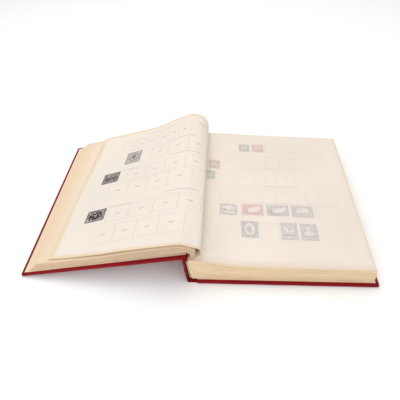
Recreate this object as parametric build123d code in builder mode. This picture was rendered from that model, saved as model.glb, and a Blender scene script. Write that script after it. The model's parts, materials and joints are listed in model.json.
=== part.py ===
from build123d import *
import os
from math import asin, atan2, cos, degrees, hypot, radians, sin

# Stamp album, lying open on its back cover, in millimetres.
# +X runs from the spine to the fore-edge, +Y from tail to head, +Z up.
# The origin is the centre of the back cover's underside.
# Heights and distances of a cross-section are given from the table and from the
# back cover's spine-side edge.

# covers
cover_width = 250.0
cover_height = 300.0
board_thickness = 2.8
cloth_thickness = 0.4
paste_thickness = 0.2
joint_width = 7.0  # bare cloth between a board and the spine
joint_clear = 0.1  # between the bare cloth and what it joins
joint_drop = 0.5  # folded joint below the open front board
turn_in = 14.0  # cloth folded over the board's inner side
square = 4.0  # board showing past the pages at head, tail and fore-edge
paste_margin = 3.0  # cloth showing round a pastedown

# spine
spine_board_thickness = 1.6
spine_outer = 7.3  # how far the spine stands out past the back cover, at the table
spine_foot = 0.6
spine_over = 1.25  # spine cloth above the sewn edge of the block
spine_board_inset = 0.6  # spine board short of its cloth, top and bottom
lean = 0.1  # sideways shift for each millimetre of height, of the opened spine

# page block on the right
page_height = cover_height - 2 * square
section_count = 8
page_back = -1.5  # spine edge of the lowest leaf
page_front = 245.2  # fore-edge of the lowest leaf
leaf_thickness = 0.25
flyleaf_thickness = 0.2
section_gap = 0.1  # air between neighbouring sections
section_paper = 3.05  # paper of one section, pressed together
guard_width = 22.0
spine_height = 39.3  # block, measured on the sewn edge
guard_height = 37.3
settle_distance, settle_height = 43.0, 33.7
shoulder_distance, shoulder_height = 73.0, 31.5
middle_distance, middle_height = 126.0, 28.9
fore_height = 24.8

# back of the block
back_margin = 1.5  # linings short of the block, top and bottom
page_clear = 0.05
thread_spacing = 76.0
tape_width, tape_thickness = 15.0, 0.5
tape_spacing = 90.0
mull_thickness, mull_margin = 0.3, 16.0
lining_thickness, lining_margin = 0.3, 4.0
thread_radius = 0.2
band_radius = 1.2

# loose right leaf and its glassine interleaf
running_gap = 0.1  # leaf above the block
interleaf_gap = 0.5  # interleaf above the leaf, over the mounted stamps
interleaf_thickness = 0.1
root_start = 3.0  # where a loose leaf leaves the gutter
root_end = 14.0  # end of its soft root
fold_distance = 36.0  # scored fold, where the leaf bends as it turns
fold_gap = 0.3

# front cover, open to the left, its fore-edge on the table
hinge_distance = 0.5
hinge_over = 7.15  # hinge line above the sewn edge of the block, room for the turned leaves
hinge_rise = 2.4  # hinge line above the board's underside
stack_start = 36.0  # all lengths on the cover are from the hinge line
stack_thickness = 3.1
lower_stack_inset = 20.0
upper_stack_inset = 23.0
flyleaf_inset = 5.0
stack_gap = 0.1
leaf_seat = 0.3  # top leaf above the stack
top_leaf_start = 90.0
top_leaf_inset = 46.0
top_leaf_thickness = 0.3

# springy arch of the turned leaves, between the gutter and the front cover;
# the pulls are the two middle points of a Bezier curve, as distance and height over the hinge line
gutter_distance = 1.8
arch_side_pull = (26.0, 19.5)
arch_top_pull = (-12.0, 47.5)
inner_arch_thickness = 5.0
inner_arch_root = -1.4
inner_arch_reach = 62.0
inner_side_pull = (12.0, 15.5)
inner_top_pull = (-8.0, 33.5)

# stamps: distance, y of the lower edge, width, height
stamp_thickness = 0.12
tab_thickness = 0.06
tab_width, tab_height = 9.0, 5.0
tab_drop = 3.0  # mount tab below the stamp's upper edge
right_root_stamps = [
    (16.4, 48.0, 19.0, 22.0),
    (14.6, 20.4, 14.0, 21.5),
]
right_leaf_stamps = [
    (36.8, -52.6, 25.0, 20.5),
    (69.8, -51.6, 31.2, 21.2),
    (107.2, -52.0, 31.0, 21.2),
    (144.2, -53.8, 30.4, 21.6),
    (68.0, -96.0, 23.2, 30.2),
    (125.0, -97.6, 22.4, 31.0),
    (152.8, -98.4, 22.6, 31.0),
    (68.8, 100.4, 18.4, 22.2),
    (91.6, 101.2, 20.2, 22.0),
]
# stamps on the turned leaf: distance from the hinge to the near edge
left_leaf_stamps = [
    (101.0, 54.6, 25.0, 27.6),
    (131.0, 11.6, 29.0, 23.8),
    (136.0, -71.4, 30.0, 24.0),
]

spine_side = -cover_width / 2
cover_stack = cloth_thickness + board_thickness + cloth_thickness + paste_thickness
block_bottom = cover_stack + leaf_thickness
sewn_top = block_bottom + spine_height
spine_top = sewn_top + spine_over
hinge_height = sewn_top + hinge_over
half_page = page_height / 2


def at(distance, height):
    """Point of the cross-section."""
    return (spine_side + distance, height)


def leaning(distance, height):
    """Point of the cross-section that follows the leaning spine."""
    return at(distance - lean * (height - cover_stack), height)


def finish(part, label):
    """Names a finished piece and writes it."""
    part.label = label
    export_step(part, "parts/" + label + ".step")


def plate(plane, x_near, x_far, width, bottom, thickness, shift=0.0):
    """Flat plate on a cover's plane, from its outer side up."""
    with BuildPart() as sheet:
        with BuildSketch(plane.offset(bottom)):
            with Locations(((x_near + x_far) / 2, shift)):
                Rectangle(x_far - x_near, width)
        extrude(amount=thickness)
    return sheet.part


def bar(points, y_low, y_high):
    """Straight bar along Y with a polygon for its cross-section."""
    with BuildPart() as solid:
        with BuildSketch(Plane.XZ.offset(-y_high)):
            with BuildLine():
                Polyline(*points, close=True)
            make_face()
        extrude(amount=y_high - y_low)
    return solid.part


os.makedirs("parts", exist_ok=True)


# Covers: board, cloth with its turned-in edges, infill and pastedown.

def make_cover(side, plane):
    far = cover_width
    inner_bottom = cloth_thickness + board_thickness
    with BuildPart() as board:
        with BuildSketch(plane.offset(cloth_thickness)):
            with Locations(((joint_width + far - cloth_thickness) / 2, 0)):
                Rectangle(far - cloth_thickness - joint_width, cover_height - 2 * cloth_thickness)
        extrude(amount=board_thickness)
    finish(board.part, side + "_board")

    with BuildPart() as cloth:
        with BuildSketch(plane):
            with Locations(((joint_width + far) / 2, 0)):
                Rectangle(far - joint_width, cover_height)
        extrude(amount=inner_bottom + cloth_thickness)
        with BuildSketch(plane.offset(cloth_thickness)):
            with Locations(((joint_width + far - cloth_thickness) / 2, 0)):
                Rectangle(far - cloth_thickness - joint_width, cover_height - 2 * cloth_thickness)
        extrude(amount=board_thickness, mode=Mode.SUBTRACT)
        with BuildSketch(plane.offset(inner_bottom)):
            with Locations(((joint_width + far - turn_in) / 2, 0)):
                Rectangle(far - turn_in - joint_width, cover_height - 2 * turn_in)
        extrude(amount=cloth_thickness, mode=Mode.SUBTRACT)
    finish(cloth.part, side + "_cloth")

    infill = plate(
        plane, joint_width, far - turn_in, cover_height - 2 * turn_in, inner_bottom, cloth_thickness
    )
    finish(infill, side + "_infill")

    pastedown = plate(
        plane, joint_width, far - paste_margin, cover_height - 2 * paste_margin,
        inner_bottom + cloth_thickness, paste_thickness,
    )
    finish(pastedown, side + "_pastedown")


back_plane = Plane(origin=(spine_side, 0, 0), x_dir=(1, 0, 0), z_dir=(0, 0, 1))
make_cover("back", back_plane)

# The open front cover slopes from the hinge line down to the table.
hinge_arm = hypot(cover_width, hinge_rise)
tilt = asin(hinge_height / hinge_arm) - atan2(hinge_rise, cover_width)
front_foot = at(hinge_distance + hinge_rise * sin(tilt), hinge_height - hinge_rise * cos(tilt))
front_plane = Plane(
    origin=(front_foot[0], 0, front_foot[1]),
    x_dir=(-cos(tilt), 0, -sin(tilt)),
    z_dir=(-sin(tilt), 0, cos(tilt)),
)
make_cover("front", front_plane)
print("open tilt", round(degrees(tilt), 3))


def on_front(length, rise):
    """Point of the cross-section, given along and above the open front cover."""
    spot = front_plane.from_local_coords((length, 0, rise))
    return (spot.X, spot.Z)


# Spine: board and cloth, leaning with the opened block.

def spine_strip(outer, inner, bottom, top, y_low, y_high):
    """Strip along the leaning spine, between two distances behind the back cover's edge."""
    points = [
        leaning(-outer, bottom),
        leaning(-inner, bottom),
        leaning(-inner, top),
        leaning(-outer, top),
    ]
    return bar(points, y_low, y_high)


spine_inner = spine_outer - cloth_thickness - spine_board_thickness
spine_cloth = spine_strip(
    spine_outer, spine_outer - cloth_thickness, spine_foot, spine_top, -cover_height / 2, cover_height / 2
)
finish(spine_cloth, "spine_cloth")
spine_board = spine_strip(
    spine_outer - cloth_thickness,
    spine_inner,
    spine_foot + spine_board_inset,
    spine_top - spine_board_inset,
    cloth_thickness - cover_height / 2,
    cover_height / 2 - cloth_thickness,
)
finish(spine_board, "spine_board")

# Bare cloth joints beside the boards.
joint_bottom = 0.1
joint_top = joint_bottom + cloth_thickness
joint_spine = -spine_outer + cloth_thickness
back_joint = bar(
    [
        leaning(joint_spine, joint_bottom),
        at(joint_width - joint_clear, joint_bottom),
        at(joint_width - joint_clear, joint_top),
        leaning(joint_spine, joint_top),
    ],
    -cover_height / 2,
    cover_height / 2,
)
finish(back_joint, "back_joint_cloth")
# The front joint is folded: it runs under the board's end, up past it and back along it.
joint_near = joint_width - 2 * joint_clear
joint_far = joint_near - cloth_thickness
joint_edge = -spine_inner - cloth_thickness
joint_level = spine_top + joint_clear
front_joint = bar(
    [
        leaning(joint_edge, joint_level),
        on_front(joint_far, -joint_drop - cloth_thickness),
        on_front(joint_far, cloth_thickness),
        on_front(joint_near, cloth_thickness),
        on_front(joint_near, -joint_drop),
        leaning(joint_edge, joint_level + cloth_thickness),
    ],
    -cover_height / 2,
    cover_height / 2,
)
finish(front_joint, "front_joint_cloth")


# Page block: folded sections, with guard strips that thicken the sewn edge.

inner_stations = [
    (guard_width, guard_height),
    (settle_distance, settle_height),
    (shoulder_distance, shoulder_height),
    (middle_distance, middle_height),
]


def fore_edge(height):
    return page_front - lean * (height - block_bottom)


def spine_edge(height):
    return page_back - lean * (height - block_bottom)


def layer_line(share):
    """Line through the block at a share of its height, from the sewn edge to the fore-edge."""
    spine_z = block_bottom + share * spine_height
    fore_z = block_bottom + share * fore_height
    line = [(spine_edge(spine_z), spine_z)]
    line += [(distance, block_bottom + share * height) for distance, height in inner_stations]
    line.append((fore_edge(fore_z), fore_z))
    return line


def to_points(line, lift=0.0):
    return [at(distance, height + lift) for distance, height in line]


guards = []
for number in range(section_count):
    low = layer_line(number / section_count)
    high = layer_line((number + 1) / section_count)
    pressed = [(distance, height + section_paper) for distance, height in low[:2]]
    pressed[0] = (spine_edge(pressed[0][1]), pressed[0][1])
    top = to_points(pressed) + to_points(high[2:], -section_gap)
    section = bar(to_points(low) + top[::-1], -half_page, half_page)
    finish(section, "section_" + str(number + 1))
    guards.append(bar(to_points(pressed) + to_points(high[:2])[::-1], -half_page, half_page))

finish(Compound(children=guards), "guard_strips")

back_flyleaf = plate(back_plane, 0, cover_width - square, page_height, cover_stack, flyleaf_thickness)
finish(back_flyleaf, "back_flyleaf")


# Back of the block: tapes, thread, mull, lining and the two bands, under the hollow spine.

back_low = block_bottom + back_margin
back_high = sewn_top - back_margin


def back_strip(start, thickness, y_low, y_high):
    near = page_back - start
    far = near - thickness
    return spine_strip(-far, -near, back_low, back_high, y_low, y_high)


tapes = []
for row in (-1, 0, 1):
    middle = row * tape_spacing
    tapes.append(back_strip(page_clear, tape_thickness, middle - tape_width / 2, middle + tape_width / 2))
finish(Compound(children=tapes), "sewing_tapes")

back_line = Vector(*leaning(0, back_high)) - Vector(*leaning(0, back_low))
threads = []
for row in (-1.5, -0.5, 0.5, 1.5):
    foot = leaning(page_back - page_clear - thread_radius, back_low)
    thread_plane = Plane(
        origin=(foot[0], row * thread_spacing, foot[1]), z_dir=(back_line.X, 0, back_line.Y)
    )
    with BuildPart() as thread:
        with BuildSketch(thread_plane):
            Circle(thread_radius)
        extrude(amount=back_line.length)
    threads.append(thread.part)
finish(Compound(children=threads), "sewing_thread")

mull_start = page_clear + tape_thickness
mull = back_strip(mull_start, mull_thickness, -half_page + mull_margin, half_page - mull_margin)
finish(mull, "mull")
lining_start = mull_start + mull_thickness
lining = back_strip(lining_start, lining_thickness, -half_page + lining_margin, half_page - lining_margin)
finish(lining, "spine_lining")

for label, end in (("headband", 1), ("tailband", -1)):
    foot = leaning(page_back - page_clear - band_radius, back_low)
    band_plane = Plane(
        origin=(foot[0], end * (half_page - band_radius), foot[1]), z_dir=(back_line.X, 0, back_line.Y)
    )
    with BuildPart() as band:
        with BuildSketch(band_plane):
            Circle(band_radius)
        extrude(amount=back_line.length)
    finish(band.part, label)


# Loose leaf and interleaf on the right: they follow the top of the block.

top_line = layer_line(1.0)


def block_top(distance):
    """Height of the block's top at a distance from the spine side."""
    for (x0, z0), (x1, z1) in zip(top_line, top_line[1:]):
        if distance <= x1:
            return z0 + (z1 - z0) * (distance - x0) / (x1 - x0)
    return top_line[-1][1]


def sheet_strip(near, far, lift, thickness, y_low, y_high):
    """Strip of a sheet that lies on the block between two distances."""
    stops = [near] + [distance for distance, height in inner_stations if near < distance < far] + [far]
    low = [at(stop, block_top(stop) + lift) for stop in stops]
    high = [at(stop, block_top(stop) + lift + thickness) for stop in stops]
    return bar(low + high[::-1], y_low, y_high)


def make_leaf(name, lift, thickness):
    soft = sheet_strip(root_start, root_end - fold_gap, lift, thickness, -half_page, half_page)
    finish(soft, name + "_hinge")
    root = sheet_strip(root_end, fold_distance - fold_gap, lift, thickness, -half_page, half_page)
    finish(root, name + "_root")
    sheet = sheet_strip(fold_distance + fold_gap, top_line[-1][0], lift, thickness, -half_page, half_page)
    finish(sheet, name)


leaf_lift = running_gap
leaf_top = leaf_lift + leaf_thickness
make_leaf("right_leaf", leaf_lift, leaf_thickness)
make_leaf("interleaf", leaf_top + interleaf_gap, interleaf_thickness)


# Stamps, each on a folded mount tab.

def right_stamp(spot):
    near, low, width, height = spot
    top = low + height
    stamp = sheet_strip(near, near + width, leaf_top + tab_thickness, stamp_thickness, low, top)
    middle = near + width / 2
    tab = sheet_strip(
        middle - tab_width / 2, middle + tab_width / 2, leaf_top, tab_thickness,
        top - tab_drop - tab_height, top - tab_drop,
    )
    return stamp, tab


root_tabs = []
for number, spot in enumerate(right_root_stamps, start=1):
    stamp, tab = right_stamp(spot)
    finish(stamp, "gutter_stamp_" + str(number))
    root_tabs.append(tab)
finish(Compound(children=root_tabs), "gutter_stamp_tabs")

leaf_tabs = []
for number, spot in enumerate(right_leaf_stamps, start=1):
    stamp, tab = right_stamp(spot)
    finish(stamp, "right_stamp_" + str(number))
    leaf_tabs.append(tab)
finish(Compound(children=leaf_tabs), "right_stamp_tabs")


# Turned leaves on the front cover.

flyleaf = plate(
    front_plane, stack_start, cover_width - flyleaf_inset, page_height, cover_stack, leaf_thickness
)
finish(flyleaf, "front_flyleaf")
lower_bottom = cover_stack + leaf_thickness + stack_gap
lower_stack = plate(
    front_plane, stack_start, cover_width - lower_stack_inset, page_height, lower_bottom, stack_thickness
)
finish(lower_stack, "left_leaves_lower")
upper_bottom = lower_bottom + stack_thickness + stack_gap
upper_stack = plate(
    front_plane, stack_start, cover_width - upper_stack_inset, page_height, upper_bottom, stack_thickness
)
finish(upper_stack, "left_leaves_upper")

stack_top = upper_bottom + stack_thickness
top_leaf_bottom = stack_top + leaf_seat
top_leaf_end = cover_width - top_leaf_inset
top_leaf = plate(front_plane, top_leaf_start, top_leaf_end, page_height, top_leaf_bottom, top_leaf_thickness)
finish(top_leaf, "left_top_leaf")

left_tabs = []
tab_bottom = top_leaf_bottom + top_leaf_thickness
stamp_bottom = tab_bottom + tab_thickness
for number, (near, low, width, height) in enumerate(left_leaf_stamps, start=1):
    # the cover's plane has its own Y towards the tail, so places along it are mirrored
    stamp_middle = -(low + height / 2)
    stamp = plate(
        front_plane, near, near + width, height, stamp_bottom, stamp_thickness, stamp_middle
    )
    finish(stamp, "left_stamp_" + str(number))
    tab_near = near + (width - tab_width) / 2
    tab_middle = -(low + height - tab_drop - tab_height / 2)
    left_tabs.append(
        plate(
            front_plane, tab_near, tab_near + tab_width, tab_height, tab_bottom, tab_thickness, tab_middle
        )
    )
finish(Compound(children=left_tabs), "left_stamp_tabs")


# Arch of the turned leaves: the top one, and the inner ones as one soft band.

def over_hinge(distance, rise):
    return at(distance, hinge_height + rise)


def arch_sheet(label, root, side_pull, top_pull, end, thickness):
    with BuildPart() as arch:
        with BuildSketch(Plane.XZ.offset(-half_page)):
            with BuildLine() as middle:
                Bezier(root, over_hinge(*side_pull), over_hinge(*top_pull), end)
            trace(middle.line, line_width=thickness)
        extrude(amount=page_height)
    finish(arch.part, label)


arch_sheet(
    "left_leaf_arch",
    at(gutter_distance, block_top(gutter_distance) + leaf_seat),
    arch_side_pull,
    arch_top_pull,
    on_front(top_leaf_start - fold_gap, top_leaf_bottom + top_leaf_thickness / 2),
    top_leaf_thickness,
)
arch_sheet(
    "left_leaves_arch",
    at(inner_arch_root, block_top(inner_arch_root) + inner_arch_thickness / 2 - leaf_seat),
    inner_side_pull,
    inner_top_pull,
    on_front(inner_arch_reach, stack_top + inner_arch_thickness / 2 + leaf_seat),
    inner_arch_thickness,
)
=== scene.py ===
import json
import random
from math import cos, pi, radians, sin

import bpy
from mathutils import Matrix, Vector

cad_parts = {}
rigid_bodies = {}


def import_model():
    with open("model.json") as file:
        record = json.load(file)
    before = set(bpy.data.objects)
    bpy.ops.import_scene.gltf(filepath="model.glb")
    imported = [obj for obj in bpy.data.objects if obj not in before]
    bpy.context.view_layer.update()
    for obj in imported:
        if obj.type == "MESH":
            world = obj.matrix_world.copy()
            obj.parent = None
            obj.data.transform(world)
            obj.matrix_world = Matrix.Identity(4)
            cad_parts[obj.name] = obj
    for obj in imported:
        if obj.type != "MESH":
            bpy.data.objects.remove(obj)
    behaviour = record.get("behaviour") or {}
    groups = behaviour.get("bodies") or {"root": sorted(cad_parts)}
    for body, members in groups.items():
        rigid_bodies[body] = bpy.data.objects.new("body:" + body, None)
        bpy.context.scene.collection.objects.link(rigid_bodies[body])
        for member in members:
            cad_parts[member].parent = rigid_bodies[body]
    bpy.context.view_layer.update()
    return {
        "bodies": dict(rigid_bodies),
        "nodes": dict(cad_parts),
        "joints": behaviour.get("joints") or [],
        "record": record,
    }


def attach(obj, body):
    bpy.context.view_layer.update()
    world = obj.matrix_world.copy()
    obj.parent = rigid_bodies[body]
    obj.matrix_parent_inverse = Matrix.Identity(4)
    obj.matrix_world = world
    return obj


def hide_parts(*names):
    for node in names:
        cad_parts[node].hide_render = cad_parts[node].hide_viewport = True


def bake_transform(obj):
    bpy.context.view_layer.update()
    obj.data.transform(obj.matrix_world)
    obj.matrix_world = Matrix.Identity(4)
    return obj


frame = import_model()
chance = random.Random(11)  # seeded, so every run gives the same album
print("frame loaded")

# Lengths below are millimetres. A distance runs from the back cover's spine side
# to the right, y from tail to head, a height from the table.
spineSide = -125.0
album = {
    "halfHeight": 150.0,
    "halfPage": 146.0,
    "coverStack": 3.8,
    "blockBottom": 4.05,
    "pageBack": -1.5,
    "pageFront": 245.2,
    "lean": 0.1,  # sideways shift for each millimetre of height
    "spineHeight": 39.3,
    "foreHeight": 24.8,
}
hingeLine = {"distance": 0.5, "height": 50.5, "rise": 2.4, "tilt": radians(11.103)}


def deselectAll():
    for thing in bpy.context.selected_objects:
        thing.select_set(False)


def activate(piece):
    deselectAll()
    piece.select_set(True)
    bpy.context.view_layer.objects.active = piece


def setMode(mode):
    bpy.ops.object.mode_set(mode=mode)


def settle():
    bpy.ops.object.transform_apply(location=True, rotation=True, scale=True)
    return bpy.context.object


def newBox(low, high):
    deselectAll()
    bpy.ops.mesh.primitive_cube_add(size=1, location=[(a + b) / 2 for a, b in zip(low, high)])
    bpy.context.object.scale = [b - a for a, b in zip(low, high)]
    return settle()


def newGrid(name, x0, x1, y0, y1, across, up):
    deselectAll()
    bpy.ops.mesh.primitive_grid_add(
        x_subdivisions=across, y_subdivisions=up, size=1, location=((x0 + x1) / 2, (y0 + y1) / 2, 0)
    )
    grid = bpy.context.object
    grid.name = name
    grid.scale = (x1 - x0, y1 - y0, 1)
    return settle()


def newShape(sides, x, y, width, height, turn, lift):
    deselectAll()
    bpy.ops.mesh.primitive_circle_add(vertices=sides, radius=0.5, fill_type="TRIFAN")
    shape = bpy.context.object
    shape.scale = (width, height, 1)
    shape.rotation_euler = (0, 0, turn)
    shape.location = (x, y, lift)
    return settle()


def newNumber(text, x, y, size, lift):
    deselectAll()
    bpy.ops.object.text_add(location=(0, 0, 0))
    letters = bpy.context.object
    letters.data.body = text
    letters.data.size = size
    letters.data.align_x = "CENTER"
    letters.data.align_y = "CENTER"
    letters.data.resolution_u = 2
    bpy.ops.object.convert(target="MESH")
    bpy.context.object.location = (x, y, lift)
    return settle()


def applyModifier(piece, kind, **values):
    activate(piece)
    modifier = piece.modifiers.new(kind.title(), kind)
    for key, value in values.items():
        setattr(modifier, key, value)
    bpy.ops.object.modifier_apply(modifier=modifier.name)


def thicken(piece, amount):
    applyModifier(piece, "SOLIDIFY", thickness=amount, offset=1.0)


def lay(piece, placeAt):
    # every point of a piece drawn flat goes to its place on the album
    for vertex in piece.data.vertices:
        x, y, z = placeAt(*vertex.co)
        vertex.co = Vector((x, y, z)) * 0.001
    piece.data.update()


def paint(piece, *materials):
    piece.data.materials.clear()
    for material in materials:
        piece.data.materials.append(material)


def markEdges(piece):
    # the cut edges of a flat sheet take the second material
    for face in piece.data.polygons:
        face.material_index = 1 if abs(face.normal.z) < 0.5 else 0


def pageUv(piece, x0, x1, y0, y1):
    layer = piece.data.uv_layers.active or piece.data.uv_layers.new(name="UVMap")
    for loop in piece.data.loops:
        x, y, z = piece.data.vertices[loop.vertex_index].co
        layer.data[loop.index].uv = ((x - x0) / (x1 - x0), (y - y0) / (y1 - y0))


def joinAll(pieces, name):
    deselectAll()
    for piece in pieces:
        piece.select_set(True)
    bpy.context.view_layer.objects.active = pieces[0]
    if len(pieces) > 1:
        bpy.ops.object.join()
    whole = bpy.context.object
    whole.name = name
    whole.data.name = name
    return whole


def smoothPiece(piece, angle=35):
    activate(piece)
    bpy.ops.object.shade_smooth_by_angle(angle=radians(angle))


def cutAcross(axis, places):
    # cuts the piece in edit mode square to an axis, so that it can bend there
    normal = [0, 0, 0]
    normal[axis] = 1
    for place in places:
        spot = [0, 0, 0]
        spot[axis] = place
        bpy.ops.mesh.select_all(action="SELECT")
        bpy.ops.mesh.bisect(plane_co=spot, plane_no=normal)


def bevelEdges(piece, chosen, offset, segments):
    # bevels the edges whose two end points pass the test; starts and ends in object mode
    for edge in piece.data.edges:
        edge.select = chosen(*(piece.data.vertices[i].co for i in edge.vertices))
    setMode("EDIT")
    bpy.ops.mesh.bevel(offset=offset, segments=segments)
    setMode("OBJECT")


def outward(piece):
    activate(piece)
    setMode("EDIT")
    bpy.ops.mesh.select_all(action="SELECT")
    bpy.ops.mesh.normals_make_consistent(inside=False)
    setMode("OBJECT")


def mixed(pair, share):
    return pair[0] + (pair[1] - pair[0]) * share


def place(distance, y, height):
    return ((distance + spineSide) * 0.001, y * 0.001, height * 0.001)


def colour(hexValue):
    parts = [int(hexValue[i:i + 2], 16) / 255 for i in (1, 3, 5)]
    return tuple(p / 12.92 if p <= 0.04045 else ((p + 0.055) / 1.055) ** 2.4 for p in parts) + (1.0,)


def addNode(tree, kind, settings=None, links=None):
    node = tree.nodes.new(kind)
    for key, value in (settings or {}).items():
        if key in node.inputs:
            node.inputs[key].default_value = value
        else:
            setattr(node, key, value)
    for key, source in (links or {}).items():
        tree.links.new(source, node.inputs[key])
    return node


def newMaterial(name, settings):
    material = bpy.data.materials.new(name)
    material.use_nodes = True
    tree = material.node_tree
    shader = tree.nodes["Principled BSDF"]
    for key, value in settings.items():
        shader.inputs[key].default_value = value
    return material, tree, shader


def mixColours(tree, factor, first, second):
    # first and second are hex values or colour sockets
    mix = addNode(tree, "ShaderNodeMix", {"data_type": "RGBA"})
    tree.links.new(factor, mix.inputs[0])
    for slot, value in ((6, first), (7, second)):
        if isinstance(value, str):
            mix.inputs[slot].default_value = colour(value)
        else:
            tree.links.new(value, mix.inputs[slot])
    return mix.outputs[2]


def ramp(tree, source, low, high):
    node = addNode(tree, "ShaderNodeMapRange", {"From Min": low, "From Max": high}, {"Value": source})
    node.clamp = True
    return node.outputs["Result"]


def objectSpot(tree):
    return addNode(tree, "ShaderNodeTexCoord").outputs["Object"]


def noise(tree, scale, detail, spot):
    node = addNode(tree, "ShaderNodeTexNoise", {"Scale": scale, "Detail": detail}, {"Vector": spot})
    return node.outputs["Fac"]


def addBump(tree, shader, height, strength, distance):
    bump = addNode(tree, "ShaderNodeBump", {"Strength": strength, "Distance": distance}, {"Height": height})
    tree.links.new(bump.outputs["Normal"], shader.inputs["Normal"])


def waveScale(millimetres):
    # the Scale of a wave texture that repeats after this length; it has 20 radians in a unit
    return 2 * pi / 20 / (millimetres * 0.001)


def maths(tree, operation, first, second):
    node = addNode(tree, "ShaderNodeMath", {"operation": operation})
    for slot, value in ((0, first), (1, second)):
        if isinstance(value, (int, float)):
            node.inputs[slot].default_value = value
        else:
            tree.links.new(value, node.inputs[slot])
    return node.outputs["Value"]


clothLook = {
    "base": "#A30E1C",
    "dark": "#860A15",
    "worn": "#5E0910",
    "thread": 1.1,  # mm from thread to thread; the real 0.45 mm is too fine to show
    "roughness": 0.62,
}


def makeBookCloth(look):
    # starched plain-weave book cloth: matt red, threads both ways, darker where it is rubbed
    material, tree, shader = newMaterial("red_book_cloth", {
        "Roughness": look["roughness"], "IOR": 1.47, "Specular IOR Level": 0.18,
    })
    spot = objectSpot(tree)
    warp, weft = (
        addNode(tree, "ShaderNodeTexWave", {
            "bands_direction": direction, "Scale": waveScale(2 * look["thread"]),
            "Distortion": 1.2, "Detail": 1.0, "Detail Scale": 0.4,
        }, {"Vector": spot})
        for direction in "XY"
    )
    weave = maths(tree, "MULTIPLY", warp.outputs["Fac"], weft.outputs["Fac"])
    cloudy = noise(tree, 38.0, 5.0, spot)
    tone = mixColours(tree, ramp(tree, cloudy, 0.35, 0.72), look["dark"], look["base"])
    grain = mixColours(tree, ramp(tree, weave, 0.0, 0.6), look["dark"], tone)
    fine = mixColours(tree, ramp(tree, weave, -1.6, 0.5), tone, grain)
    wear = addNode(tree, "ShaderNodeAttribute", {"attribute_name": "wear"})
    scuff = noise(tree, 420.0, 4.0, spot)
    rubbed = maths(tree, "MULTIPLY", wear.outputs["Fac"], ramp(tree, scuff, 0.3, 0.62))
    tree.links.new(mixColours(tree, rubbed, fine, look["worn"]), shader.inputs["Base Color"])
    addBump(tree, shader, weave, 0.35, 0.0003)
    return material


paperFinish = {"IOR": 1.48, "Specular IOR Level": 0.25}
leafLook = {
    "page": "#F0E6D9",
    "cool": "#EBE2D7",
    "toned": "#E6CFAE",
    "fleck": "#D9BE97",
    "edge": "#FFCAA2",
    "edgeDark": "#DDA578",
    # the turned leaves' edge colours: the golden colour of the cut edges, lifted brighter as painted light
    # against the shade on their tail edges
    "litLeftEdge": "#FFDDB0",
    "litLeftEdgeDark": "#E8BC86",
}


def makeLeafPaper(name, look, margin):
    # uncoated wood-pulp album paper: matt cream, browned by age towards its edges
    material, tree, shader = newMaterial(name, dict(paperFinish, Roughness=0.78))
    coords = addNode(tree, "ShaderNodeTexCoord").outputs
    spot = coords["Object"]
    cloudy = noise(tree, 9.0, 4.0, spot)
    specks = noise(tree, 210.0, 3.0, spot)
    base = mixColours(tree, ramp(tree, cloudy, 0.3, 0.7), look["page"], look["cool"])
    split = addNode(tree, "ShaderNodeSeparateXYZ", {}, {"Vector": coords["UV"]}).outputs
    across = maths(tree, "SUBTRACT", 1.0, split["X"])
    up = maths(tree, "SUBTRACT", 1.0, split["Y"])
    ends = maths(tree, "MULTIPLY", maths(tree, "MINIMUM", split["Y"], up), 1.7)
    near = maths(tree, "MINIMUM", across, ends)
    shaky = maths(tree, "ADD", near, maths(tree, "MULTIPLY", cloudy, 0.05))
    toned = addNode(tree, "ShaderNodeMapRange", {
        "From Min": 0.02, "From Max": margin, "To Min": 1.0, "To Max": 0.0,
        "interpolation_type": "SMOOTHERSTEP",
    }, {"Value": shaky})
    aged = mixColours(tree, toned.outputs["Result"], base, look["toned"])
    fleck = maths(tree, "MULTIPLY", ramp(tree, specks, 0.63, 0.75), 0.35)
    tree.links.new(mixColours(tree, fleck, aged, look["fleck"]), shader.inputs["Base Color"])
    fibre = noise(tree, 900.0, 2.0, spot)
    addBump(tree, shader, fibre, 0.08, 0.0002)
    return material


def makeLeafEdge(name, edge, edgeDark):
    # cut edges of the leaves: browner than the pages, in fine streaks along the block
    material, tree, shader = newMaterial(name, {"Roughness": 0.85, "IOR": 1.48, "Specular IOR Level": 0.2})
    spot = objectSpot(tree)
    stretch = addNode(tree, "ShaderNodeMapping", {"Scale": (14.0, 14.0, 900.0)}, {"Vector": spot})
    streaks = noise(tree, 1.0, 3.0, stretch.outputs["Vector"])
    cloudy = noise(tree, 30.0, 3.0, spot)
    dark, patchy = ramp(tree, streaks, 0.42, 0.75), ramp(tree, cloudy, 0.2, 0.8)
    # darker in fine streaks that run with the leaves, and in patches
    streakedDarkening = maths(tree, "MULTIPLY", dark, patchy)
    tree.links.new(mixColours(tree, streakedDarkening, edge, edgeDark), shader.inputs["Base Color"])
    return material


def makeGlassine():
    # glassine interleaf: thin supercalendered paper, milky and a little glossy
    material, tree, shader = newMaterial("milky_glassine", {"Roughness": 0.42, "IOR": 1.5, "Alpha": 0.34})
    coords = addNode(tree, "ShaderNodeTexCoord").outputs
    spot = coords["Object"]
    cloudy = noise(tree, 14.0, 4.0, spot)
    base = mixColours(tree, ramp(tree, cloudy, 0.35, 0.7), "#FFF8F0", "#FBF3EA")
    split = addNode(tree, "ShaderNodeSeparateXYZ", {}, {"Vector": coords["UV"]}).outputs
    far = maths(tree, "SUBTRACT", 1.0, split["X"])
    toned = ramp(tree, maths(tree, "MINIMUM", far, split["Y"]), 0.045, 0.0)
    tree.links.new(mixColours(tree, toned, base, "#F4E8DA"), shader.inputs["Base Color"])
    ripple = noise(tree, 60.0, 2.0, spot)
    addBump(tree, shader, ripple, 0.06, 0.002)
    return material


engravedLine = 0.6  # mm, about twice the real width, so that it shows


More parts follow.
